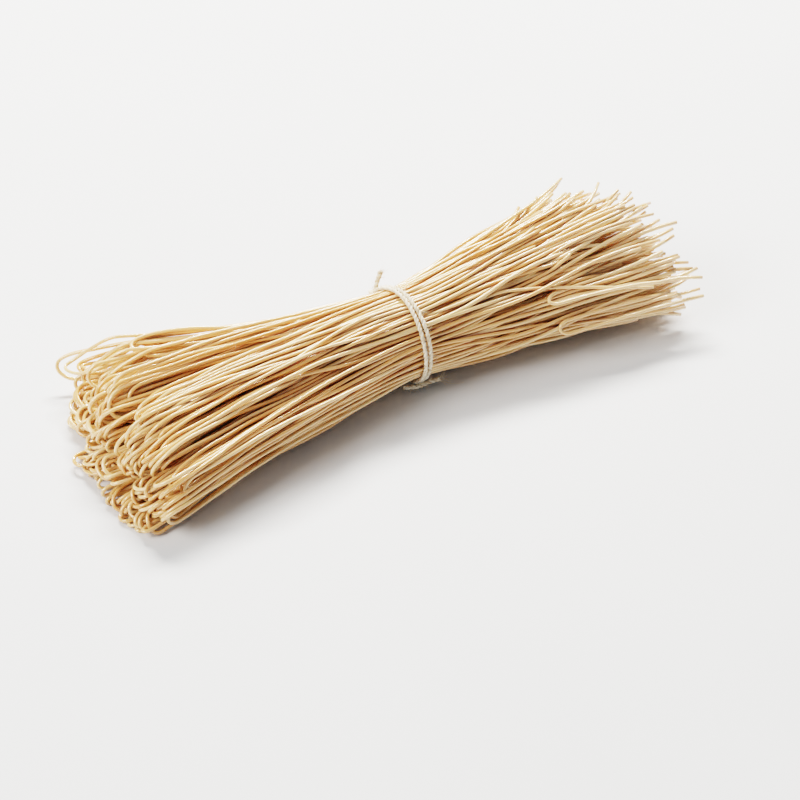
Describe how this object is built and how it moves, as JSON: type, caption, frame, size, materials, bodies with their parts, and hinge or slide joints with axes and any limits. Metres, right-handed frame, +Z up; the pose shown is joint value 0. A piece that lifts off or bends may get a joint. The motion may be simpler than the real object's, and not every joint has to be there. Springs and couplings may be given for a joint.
{
  "type": "bundle of dried noodles",
  "caption": "Hourglass bundle of thin dried sweet potato noodles, each folded to a loop at one end and cut at the other, held at the waist by jute twine.",
  "frame": {"origin": "on the surface that the bundle lies on, under the middle of its box", "axes": "+X along the bundle from the loop end to the cut end, +Y to the back as the picture shows it, +Z up"},
  "size_m": [0.3232, 0.1276, 0.0566],
  "materials": {
    "noodle": "satin, slightly translucent dried starch, amber to straw",
    "twine": "matt two-ply jute twine with loose fibres"
  },
  "bodies": {
    "root": {"noodles": "noodle", "twine_tie": "twine"}
  },
  "joints": []
}
